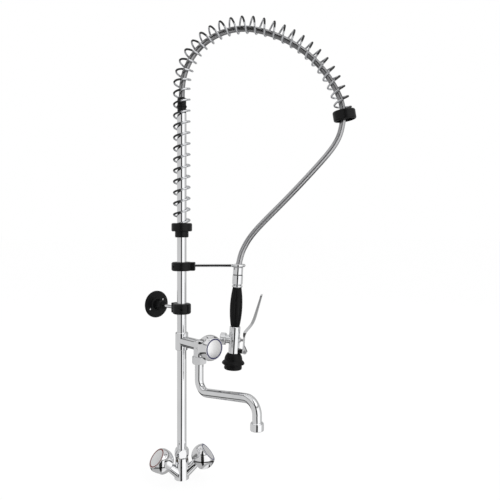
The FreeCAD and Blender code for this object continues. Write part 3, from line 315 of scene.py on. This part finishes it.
@dataclass(frozen=True)
class Wire(Finish):
    """Polished spring wire, drawn black on the outer half of each front strand.

    The black stands for a dark reflection there, and is placed by where the strand lies.
    """

    dark: float = 0.03          # share of the colour left where it is black
    fade: float = 0.002         # half the width of the black's soft inner edge
    front: tuple[float, float] = (0.003, 0.007)     # ahead of the arch's plane: black starts, is full
    # reach, height and radius of the bends that the spring follows, and the reach where each starts
    bends: tuple[tuple[float, float, float, float], ...] = ()

    def outside(self, graph: Graph, reach: Value, height: Value) -> Value:
        """How far a point lies outside the spring's centreline, in the arch's plane.

        Args:
            graph: the material being built.
            reach: distance from the column's axis along the arch.
            height: height of the point.

        Returns:
            The distance, positive on the outside of the arch.
        """
        found = reach * -1.0
        for centre, level, radius, start in self.bends:
            along = reach - centre
            above = height - level
            away = (along * along + above * above).power(0.5) - radius
            passed = (reach - start) if start else (height - level)
            found = found + (away - found) * passed.ramp(-0.0005, 0.0005)
        return found

    def fill(self, graph: Graph) -> None:
        """Lay the finish's nodes into a graph."""
        axes = ((math.cos(ARM_ANGLE), math.sin(ARM_ANGLE), 0.0), (0.0, 0.0, 1.0),
                (-math.sin(ARM_ANGLE), math.cos(ARM_ANGLE), 0.0))
        reach, height, across = (
            graph.value("ShaderNodeVectorMath", {"operation": "DOT_PRODUCT"},
                        {0: graph.place(), 1: axis}, "Value") for axis in axes)
        smear = graph.noise(60.0, 3.0)
        outside = self.outside(graph, reach, height) + smear * self.fade
        black = outside.ramp(-self.fade, self.fade) * across.ramp(-self.front[0], -self.front[1])
        bright = 1.0 - black
        shade = tuple(channel * self.dark for channel in self.colour)
        graph.surface({
            "Base Color": graph.blend(bright, shade, self.colour),
            "Metallic": bright,
            "Roughness": smear * 0.06 + black * 0.5 + self.roughness,
            "Normal": graph.bump(graph.noise(300.0, 2.0), 0.00001, 0.5),
        })


@dataclass(frozen=True)
class Satin(Finish):
    """Bare metal with fine turned or brushed lines."""

    lines: float = 2600.0
    metallic: float = 1.0

    def fill(self, graph: Graph) -> None:
        """Lay the finish's nodes into a graph."""
        lines = graph.noise(self.lines, 2.0, stretch=(0.05, 0.05, 1.0))
        shade = tuple(channel * 0.75 for channel in self.colour)
        graph.surface({
            "Base Color": graph.blend(lines, shade, self.colour),
            "Metallic": self.metallic,
            "Roughness": lines * 0.15 + self.roughness,
            "Normal": graph.bump(lines, 0.00003, 0.5),
        })


@dataclass(frozen=True)
class Moulded(Finish):
    """Moulded plastic or rubber: a fine grain, slightly paler where hands rub it."""

    grain: float = 2400.0
    depth: float = 0.00002
    rubbed: float = 1.35
    shine: float = 0.12         # strength of the surface's reflection

    def fill(self, graph: Graph) -> None:
        """Lay the finish's nodes into a graph."""
        grain = graph.noise(self.grain, 3.0)
        wear = graph.noise(45.0, 5.0)
        paler = tuple(min(1.0, channel * self.rubbed + 0.001) for channel in self.colour)
        graph.surface({
            "Base Color": graph.blend(wear.ramp(0.4, 0.75), self.colour, paler),
            "Roughness": wear * 0.14 + grain * 0.06 + (self.roughness - 0.08),
            "Specular IOR Level": self.shine,
            "Normal": graph.bump(grain + graph.noise(300.0, 1.0) * 0.4, self.depth, 0.8),
        })


@dataclass(frozen=True)
class Enamelled(Finish):
    """Glossy coloured plastic under a clear skin."""

    def fill(self, graph: Graph) -> None:
        """Lay the finish's nodes into a graph."""
        cloud = graph.noise(240.0, 3.0)
        shade = tuple(channel * 0.8 for channel in self.colour)
        graph.surface({
            "Base Color": graph.blend(cloud, shade, self.colour),
            "Roughness": cloud * 0.08 + self.roughness,
            "Coat Weight": 0.3,
            "Coat Roughness": 0.05,
            "Normal": graph.bump(cloud, 0.00003, 0.4),
        })


@dataclass(frozen=True)
class Braid(Finish):
    """Woven stainless wire: flat strands that cross over and under round a hose."""

    length: float = 0.5         # of the hose that its UV map runs along
    girth: float = 0.044
    strand: float = 0.0022      # width of one bundle of wires

    def fill(self, graph: Graph) -> None:
        """Lay the finish's nodes into a graph."""
        split = graph.node("ShaderNodeSeparateXYZ", {}, {"Vector": graph.place("UV")})
        along = Value(graph, split.outputs["X"])
        around = Value(graph, split.outputs["Y"])
        bundles = 2 * round(self.girth / self.strand / 2)
        rise = math.pi * self.length / self.strand
        turn = math.pi * bundles
        left = (along * rise + around * turn).sine()
        right = (along * rise - around * turn).sine()
        over = (left * right).ramp(-0.5, 0.5)
        wires = (along * (rise * 3.1) + around * (turn * 3.0)).sine() * 0.12
        crown = left.size().higher(right.size())
        height = over * 0.5 + crown.power(2.0) * 0.4 + wires
        # painted shade: the low strands that dip under are drawn darker, in the weave's hollows
        shade = tuple(channel * 0.66 for channel in self.colour)
        soiling = graph.noise(60.0, 4.0)
        graph.surface({
            "Base Color": graph.blend(height.ramp(0.1, 0.85), shade, self.colour),
            "Metallic": 0.95,
            "Roughness": soiling * 0.10 + self.roughness,
            "Normal": graph.bump(height, 0.00006, 0.8),
        })


CHROME = (0.88, 0.885, 0.895)
CASTING = Chrome("chrome_casting", "chrome_casting", CHROME, 0.035, 0.05, 0.00004)
NUT = Chrome("chrome_nut", "chrome_nut", (0.85, 0.855, 0.865), 0.045)
TUBE = Chrome("chrome_tube", "chrome_tube", CHROME, 0.03, 0.04, 0.000012)
FITTING = Chrome("chrome_fitting", "chrome_fitting", CHROME, 0.04)
KNOB_CHROME = Chrome("knob_chrome", "knob_chrome", (0.89, 0.89, 0.9), 0.045, 0.06)
CAP = Chrome("cap_chrome", "cap_chrome", (0.97, 0.97, 0.975), 0.34, 0.05)
LEVER_CHROME = Chrome("lever_chrome", "lever_chrome", (0.86, 0.865, 0.875), 0.06, 0.08)
STEEL = Satin("steel", "steel", (0.62, 0.62, 0.63), 0.22)
BRASS = Satin("brass", "brass", (0.72, 0.58, 0.30), 0.28)
ROSE = Satin("spray_face", "spray_face", (0.6, 0.6, 0.61), 0.24)
BLACK_PLASTIC = Moulded("black_plastic", "black_plastic", (0.0060, 0.0061, 0.0064), 0.30, shine=0.2)
GRIP_RUBBER = Moulded("grip_rubber", "grip_rubber", (0.0050, 0.0050, 0.0054), 0.34, 3200.0, 0.000012,
                      shine=0.18)
HEAD_RUBBER = Moulded("head_rubber", "head_rubber", (0.0044, 0.0044, 0.0047), 0.42, 1800.0, 0.00002,
                      shine=0.16)
SEAL = Moulded("seal_rubber", "seal_rubber", (0.008, 0.008, 0.008), 0.6)
BLACK_STEEL = Moulded("black_steel", "black_steel", (0.006, 0.006, 0.0062), 0.34, 900.0, 0.00002)
WHITE_PLASTIC = Moulded("white_plastic", "white_plastic", (0.72, 0.72, 0.70), 0.45, shine=0.5)
HOT_RING = Enamelled("index_red", "index_red", (0.20, 0.028, 0.017), 0.30)
COLD_RING = Enamelled("index_blue", "index_blue", (0.022, 0.022, 0.11), 0.30)


# ---------------------------------------------------------------- piece tools
def arm_point(reach: float, height: float, side: float = 0.0) -> Vector:
    """A point of the arch's plane.

    Args:
        reach: distance from the column's axis.
        height: above the deck.
        side: distance out of the plane.

    Returns:
        The point in the model's frame.
    """
    return Matrix.Rotation(ARM_ANGLE, 3, "Z") @ Vector((reach, side, height))


def dress_node(name: str, finish: Finish, edge: float = 0.0003, angle: float = 32.0) -> None:
    """Give a CAD node its finish, smooth shading and softened edges.

    Args:
        name: the node.
        finish: its finish.
        edge: width of the softened edges, or 0 for none.
        angle: edges sharper than this many degrees stay sharp.
    """
    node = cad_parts[name]
    node.data.materials.clear()
    node.data.materials.append(finish.material())
    for face in node.data.polygons:
        face.use_smooth = True
    weld = node.modifiers.new("weld", "WELD")
    weld.merge_threshold = WELD_REACH
    if edge:
        bevel = node.modifiers.new("edge", "BEVEL")
        bevel.width = edge
        bevel.segments = 2
        bevel.limit_method = "ANGLE"
        bevel.angle_limit = math.radians(angle)
        bevel.harden_normals = False
        weighted = node.modifiers.new("weighted", "WEIGHTED_NORMAL")
        weighted.keep_sharp = True
    else:
        split = node.modifiers.new("split", "EDGE_SPLIT")
        split.split_angle = math.radians(angle)
    LOG.info("dressed %s with %s", name, finish.name)


def add_piece(name: str, data: Any, finish: Finish, body: Body, *replaced: str) -> bpy.types.Object:
    """Put a finished mesh or curve into the scene.

    Args:
        name: the piece's name.
        data: its mesh or curve.
        finish: its finish.
        body: the body that it rides on.
        replaced: CAD nodes that it stands for.

    Returns:
        The object.
    """
    piece = bpy.data.objects.new(name, data)
    bpy.context.scene.collection.objects.link(piece)
    data.materials.append(finish.material())
    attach(piece, body.value)
    if replaced:
        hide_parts(*replaced)
    LOG.info("made %s for %s", name, ", ".join(replaced) or body.value)
    return piece


def round_curve(name: str, points: list[Vector], radius: float, order: int = 3,
                sides: int = 6) -> bpy.types.Curve:
    """A round bar or tube along a smooth line.

    Args:
        name: the curve's name.
        points: its control points.
        radius: of the bar.
        order: of the NURBS line.
        sides: rounds of the bar's section in a quarter turn.

    Returns:
        The curve.
    """
    curve = bpy.data.curves.new(name, "CURVE")
    curve.dimensions = "3D"
    spline = curve.splines.new("NURBS")
    spline.points.add(len(points) - 1)
    for control, place in zip(spline.points, points):
        control.co = (*place, 1.0)
    spline.order_u = order
    spline.use_endpoint_u = True
    spline.resolution_u = 6
    curve.bevel_depth = radius
    curve.bevel_resolution = sides
    curve.use_fill_caps = True
    return curve


# ---------------------------------------------------------------- sub-assemblies
@dataclass
class Knob:
    """A chromed handwheel on a quarter-turn valve, with a coloured ring round its cap."""

    prefix: str
    ring: Finish

    def dress(self) -> None:
        """Finish the knob's six pieces."""
        dress_node(f"{self.prefix}_knob", KNOB_CHROME, 0.0006)
        dress_node(f"{self.prefix}_index_ring", self.ring, 0.0003)
        dress_node(f"{self.prefix}_cap", CAP, 0.0003)
        dress_node(f"{self.prefix}_knob_screw", STEEL, 0.0)
        dress_node(f"{self.prefix}_spindle", BRASS, 0.0)
        dress_node(f"{self.prefix}_headwork", BRASS, 0.0)


@dataclass
class MixerFoot:
    """The casting on the deck with its two knobs, its gasket and the nut of the column."""

    knobs: tuple[Knob, ...] = (Knob("hot", HOT_RING), Knob("cold", COLD_RING))

    def dress(self) -> None:
        """Finish the foot."""
        dress_node("base_body", CASTING, 0.0008)
        dress_node("base_gasket", SEAL, 0.0)
        dress_node("column_nut", NUT, 0.0004)
        for knob in self.knobs:
            knob.dress()


@dataclass
class Column:
    """The two tubes, the branch tee and the swivelling spout with its own valve."""

    knob: Knob = field(default_factory=lambda: Knob("spout", COLD_RING))

    def dress(self) -> None:
        """Finish the column, the tee and the spout."""
        dress_node("lower_column", TUBE, 0.0003)
        dress_node("upper_column", TUBE, 0.0003)
        dress_node("tee_body", CASTING, 0.0007)
        dress_node("spout_nut", NUT, 0.0004)
        dress_node("spout_pipe", TUBE, 0.0002)
        dress_node("spout_bush", WHITE_PLASTIC, 0.0)
        dress_node("aerator_housing", FITTING, 0.0004)
        dress_node("aerator_insert", WHITE_PLASTIC, 0.0)
        self.knob.dress()


@dataclass
class Brackets:
    """The split clamps on the column, the wall rosette and the hose's hook."""

    edge: float = 0.0005        # softened edges of the moulded pieces
    rod_edge: float = 0.0003

    def dress(self) -> None:
        """Finish the brackets."""
        for name in ("wall_clamp", "hook_clamp", "wall_flange", "spring_holder"):
            dress_node(name, BLACK_PLASTIC, self.edge)
        for name in ("wall_clamp_screw", "hook_clamp_screw", "spring_holder_screw"):
            dress_node(name, BLACK_STEEL, 0.0)
        dress_node("wall_rod", TUBE, self.rod_edge)
        dress_node("hook_rod", TUBE, 0.0)


@dataclass
class SpringArch:
    """The open-wound spring from its holder on the column, over the arch, to the collar at its free end."""

    start: float = 0.5863           # height of the first turn
    straight_end: float = 0.9095
    arcs: tuple[tuple[float, float], ...] = ((0.151, 100.4), (0.250, 70.3))
    radius: float = 0.0188
    wire: float = 0.0024
    pitch: float = 0.0257
    arc_pitch: float = 0.0237
    phase: float = -49.0            # degrees round the column at which the wire starts
    steps: int = 16                 # control points in a turn

    def length(self) -> float:
        """Length of the spring's centreline."""
        bends = sum(radius * math.radians(angle) for radius, angle in self.arcs)
        return self.straight_end - self.start + bends

    def bends(self) -> tuple[tuple[float, float, float, float], ...]:
        """Reach, height and radius of each bend's circle, and the reach where the bend starts."""
        circles = []
        reach, height, heading, held = 0.0, self.straight_end, math.pi / 2, 0.0
        for radius, angle in self.arcs:
            reach += (radius - held) * math.sin(heading)
            height -= (radius - held) * math.cos(heading)
            circles.append((reach, height, radius, reach - radius * math.sin(heading)))
            heading -= math.radians(angle)
            held = radius
        return tuple(circles)

    def frame_at(self, distance: float) -> tuple[float, float, float]:
        """Place on the centreline.

        Args:
            distance: along the centreline from the first turn.

        Returns:
            Reach, height and heading in radians.
        """
        straight = self.straight_end - self.start
        if distance <= straight:
            return 0.0, self.start + distance, math.pi / 2
        left = distance - straight
        reach, height, heading = 0.0, self.straight_end, math.pi / 2
        for radius, angle in self.arcs:
            bend = min(left / radius, math.radians(angle))
            centre = (reach + radius * math.sin(heading), height - radius * math.cos(heading))
            heading -= bend
            reach = centre[0] - radius * math.sin(heading)
            height = centre[1] + radius * math.cos(heading)
            left -= radius * bend
        return reach, height, heading

    def wound(self) -> list[Vector]:
        """Points of the wire, turn by turn."""
        straight = self.straight_end - self.start
        on_column = straight / self.pitch
        turns = on_column + (self.length() - straight) / self.arc_pitch
        places = []
        for step in range(int(turns * self.steps) + 1):
            turn = step / self.steps
            over = max(0.0, turn - on_column)
            distance = min(turn, on_column) * self.pitch + over * self.arc_pitch
            reach, height, heading = self.frame_at(distance)
            angle = 2 * math.pi * turn + math.radians(self.phase)
            out = self.radius * math.cos(angle)
            side = -self.radius * math.sin(angle)
            places.append(arm_point(reach - out * math.sin(heading), height + out * math.cos(heading), side))
        return places

    def build(self) -> None:
        """Wind the wire and finish the collar."""
        curve = round_curve("spring_wire", self.wound(), self.wire, 4, 2)
        curve.splines[0].resolution_u = 2
        finish = Wire("spring_steel", "spring_steel", (0.74, 0.75, 0.77), 0.05, bends=self.bends())
        add_piece("spring_wire", curve, finish, Body.COLUMN, "spring")
        dress_node("spring_end_collar", BLACK_PLASTIC, 0.0005)


@dataclass
class Hose:
    """The braided hose: round the inside of the arch, then hanging free down to the gun's swivel."""

    radius: float = 0.007
    start: float = 0.890            # top of the coupling
    bend_start: float = 0.905
    arcs: tuple[tuple[float, float], ...] = ((0.147, 100.4), (0.2646, 56.2), (0.110, 31.1))
    arch_length: float = 0.5918
    free_length: float = 0.4335
    shaded_grey_in_spring: float = 0.36    # painted shade: the braid inside the spring is drawn darker, for the shade that the turns cast on it
    grey_free: float = 0.58
    # reach and height of the free stretch, from the spring's collar to the ferrule
    free_route: tuple[tuple[float, float], ...] = (
        (0.3767, 0.8360), (0.3735, 0.8130), (0.3620, 0.7850), (0.3400, 0.7550), (0.2910, 0.7010),
        (0.2400, 0.6475), (0.1900, 0.5980), (0.1625, 0.5675), (0.1455, 0.5400), (0.1359, 0.5150),
        (0.1318, 0.4894))

    def braid(self, name: str, length: float, grey: float) -> Braid:
        """The woven finish for one stretch of the hose."""
        girth = 2 * math.pi * self.radius
        return Braid(name, "braided_hose", (grey, grey, grey * 1.02), 0.17, length, girth)

    def arch_points(self) -> list[Vector]:
        """Points of the hose round the inside of the arch."""
        reach, height, heading = 0.0, self.bend_start, math.pi / 2
        places = [arm_point(0.0, self.start), arm_point(0.0, (self.start + self.bend_start) / 2)]
        for radius, angle in self.arcs:
            centre = (reach + radius * math.sin(heading), height - radius * math.cos(heading))
            steps = max(2, round(angle / 9.0))
            for step in range(0 if heading == math.pi / 2 else 1, steps + 1):
                toward = heading - math.radians(angle) * step / steps
                places.append(arm_point(centre[0] - radius * math.sin(toward),
                                        centre[1] + radius * math.cos(toward)))
            heading -= math.radians(angle)
            reach = centre[0] - radius * math.sin(heading)
            height = centre[1] + radius * math.cos(heading)
        return places

    def build(self) -> None:
        """Make both stretches and finish the coupling and the ferrule."""
        inside = round_curve("arch_hose", self.arch_points(), self.radius, 4)
        # painted shade: the hose inside the spring gets a darker copy of the braid than the free stretch
        shaded = self.braid("braid_shaded_in_spring", self.arch_length, self.shaded_grey_in_spring)
        add_piece("arch_hose", inside, shaded, Body.COLUMN, "hose_in_spring")
        route = [arm_point(reach, height) for reach, height in self.free_route]
        hanging = round_curve("free_hose", route, self.radius)
        hanging.splines[0].resolution_u = 12
        plain = self.braid("braid_free", self.free_length, self.grey_free)
        piece = add_piece("free_hose", hanging, plain, Body.COLUMN, "hose_free")
        dress_node("hose_coupling", BLACK_PLASTIC, 0.0004)
        dress_node("hose_ferrule", FITTING, 0.0003)


@dataclass
class SprayGun:
    """The trigger gun that hangs from the hose: swivel, grip, valve body, lever and rubber head."""

    def dress(self) -> None:
        """Finish the gun's pieces."""
        for name in ("swivel_ferrule", "gun_body", "valve_cap"):
            dress_node(name, FITTING, 0.0004)
        dress_node("swivel_seal", SEAL, 0.0)
        dress_node("handle_core", STEEL, 0.0)
        dress_node("grip", GRIP_RUBBER, 0.0, 50.0)
        dress_node("lever_yoke", BLACK_PLASTIC, 0.0004)
        dress_node("pivot_pin", STEEL, 0.0002)
        dress_node("spray_head", HEAD_RUBBER, 0.0005)
        dress_node("spray_face", ROSE, 0.0)
        dress_node("lever", LEVER_CHROME, 0.0005)
        dress_node("plunger", STEEL, 0.0)


# ---------------------------------------------------------------- studio
# brightness of the studio's walls by bearing, from behind the tap, past its left, front and right
WALLS = [(0.0, 0.55), (0.08, 0.60), (0.12, 0.66), (0.30, 0.63), (0.455, 0.66), (0.462, 0.02),
         (0.535, 0.02), (0.542, 1.10), (0.69, 1.15), (0.74, 0.62), (0.90, 0.52), (1.0, 0.55)]
# the same by height, from straight down to straight up: pale floor, dark skirting, pale ceiling
HEIGHTS = [(0.0, 0.62), (0.17, 0.58), (0.20, 0.05), (0.26, 0.04), (0.285, 0.77), (0.725, 0.77),
           (0.75, 0.25), (0.79, 0.25), (0.82, 1.0), (1.0, 1.0)]


@dataclass
class Studio:
    """Pale floor, white surround, soft lamps and the camera."""

    camera_height: float = 0.585
    camera_depth: float = 1.2636    # from the camera to the column, along the view
    camera_side: float = 0.1596     # the column lies this far left of the view's axis
    camera_turn: float = ARM_TURN   # the view is square to the arch's plane
    lens: float = 38.88
    rise: float = -0.044            # vertical shift of the picture, in sensor widths
    wall_strength: float = 1.3      # brightness of the surround that the metal mirrors
    floor_glow: float = 1.06        # brightness of the floor's white for the camera
    floor_share: float = 0.85       # how much of the floor that white makes up

    def axis(self) -> Vector:
        """Horizontal direction in which the camera looks."""
        turn = math.radians(self.camera_turn)
        return Vector((-math.sin(turn), math.cos(turn), 0.0))

    def add_camera(self) -> None:
        """Make the camera and hand it to the scene."""
        ahead = self.axis()
        right = ahead.cross(UP)
        data = bpy.data.cameras.new("camera")
        data.sensor_width = 36.0
        data.lens = self.lens
        data.shift_y = self.rise
        camera = bpy.data.objects.new("camera", data)
        bpy.context.scene.collection.objects.link(camera)
        camera.location = right * self.camera_side - ahead * self.camera_depth + UP * self.camera_height
        camera.rotation_mode = "QUATERNION"
        camera.rotation_quaternion = ahead.to_track_quat("-Z", "Y")
        bpy.context.scene.camera = camera

    def add_world(self) -> None:
        """White for the camera; a studio with soft grey walls for the light and for gloss."""
        world = bpy.data.worlds.new("studio")
        world.use_nodes = True
        bpy.context.scene.world = world
        graph = Graph(world.node_tree)
        turned = graph.node("ShaderNodeMapping", {"vector_type": "POINT"},
                            {"Vector": graph.place("Generated"),
                             "Rotation": (0.0, 0.0, math.radians(90.0 - self.camera_turn))})
        split = graph.node("ShaderNodeSeparateXYZ", {}, {"Vector": turned.outputs[0]})
        forward = Value(graph, split.outputs["X"])
        sideways = Value(graph, split.outputs["Y"])
        rise = Value(graph, split.outputs["Z"])
        bearing = forward.maths("ARCTAN2", sideways, first=False) * (0.5 / math.pi) + 0.5
        walls = graph.value("ShaderNodeValToRGB", {"stops": WALLS}, {"Fac": bearing})
        height = graph.value("ShaderNodeValToRGB", {"stops": HEIGHTS}, {"Fac": rise * 0.5 + 0.5})
        rays = graph.node("ShaderNodeLightPath")
        seen = Value(graph, rays.outputs["Is Camera Ray"])
        level = graph.value("ShaderNodeMix", {"data_type": "FLOAT"},
                            {0: seen, 2: walls * height * self.wall_strength, 3: 1.0})
        light = graph.node("ShaderNodeBackground", {}, {"Color": (1.0, 1.0, 1.0, 1.0), "Strength": level})
        graph.node("ShaderNodeOutputWorld", {}, {"Surface": light.outputs[0]})

    def add_floor(self) -> None:
        """A pale floor that keeps a faint shadow."""
        shape = bmesh.new()
        bmesh.ops.create_circle(shape, cap_ends=True, segments=96, radius=30.0)
        mesh = bpy.data.meshes.new("floor")
        shape.to_mesh(mesh)
        shape.free()
        floor = bpy.data.objects.new("floor", mesh)
        bpy.context.scene.collection.objects.link(floor)
        floor.location = (0.0, 0.0, -0.0002)
        material = bpy.data.materials.new("floor")
        material.use_nodes = True
        graph = Graph(material.node_tree)
        cloud = graph.noise(3.0, 2.0)
        matt = graph.node("ShaderNodeBsdfPrincipled", {},
                          {"Base Color": graph.blend(cloud, (0.9, 0.9, 0.9), (0.93, 0.93, 0.93)),
                           "Roughness": 0.8})
        white = graph.node("ShaderNodeEmission", {},
                           {"Color": (1.0, 1.0, 1.0, 1.0), "Strength": self.floor_glow})
        rays = graph.node("ShaderNodeLightPath")
        seen = Value(graph, rays.outputs["Is Camera Ray"])
        mixed = graph.node("ShaderNodeMixShader", {},
                           {0: seen * self.floor_share, 1: matt.outputs[0], 2: white.outputs[0]})
        graph.node("ShaderNodeOutputMaterial", {}, {"Surface": mixed.outputs[0]})
        mesh.materials.append(material)
        floor.visible_glossy = False

    def add_lamp(self, name: str, bearing: float, distance: float, height: float, size: float,
                 power: float) -> None:
        """Add a soft lamp that faces the middle of the tap.

        Args:
            name: the lamp's name.
            bearing: degrees from the camera's side, positive to its right.
            distance: from the column.
            height: above the deck.
            size: side of the lamp's square.
            power: in watts.
        """
        data = bpy.data.lights.new(name, "AREA")
        data.shape = "RECTANGLE"
        data.size = size
        data.size_y = size * 1.6
        data.energy = power
        lamp = bpy.data.objects.new(name, data)
        bpy.context.scene.collection.objects.link(lamp)
        toward = Matrix.Rotation(math.radians(bearing), 3, "Z") @ -self.axis()
        lamp.location = toward * distance + UP * height
        lamp.visible_glossy = False
        lamp.rotation_mode = "QUATERNION"
        lamp.rotation_quaternion = (UP * 0.5 - lamp.location).to_track_quat("-Z", "Y")

    def build(self) -> None:
        """Set the stage and the colour management."""
        bpy.context.scene.view_settings.view_transform = "Standard"
        self.add_camera()
        self.add_world()
        self.add_floor()
        self.add_lamp("key", 50.0, 2.4, 1.7, 1.2, 14.0)
        self.add_lamp("fill", -65.0, 2.6, 1.1, 1.4, 6.0)
        self.add_lamp("rim", 165.0, 2.4, 1.9, 1.0, 8.0)


def main() -> None:
    """Build the studio and dress the tap, sub-assembly by sub-assembly."""
    logging.basicConfig(level=logging.INFO, format="%(name)s: %(message)s")
    Studio().build()
    Hose().build()
    SpringArch().build()
    MixerFoot().dress()
    Column().dress()
    Brackets().dress()
    SprayGun().dress()


if __name__ == "__main__":
    main()
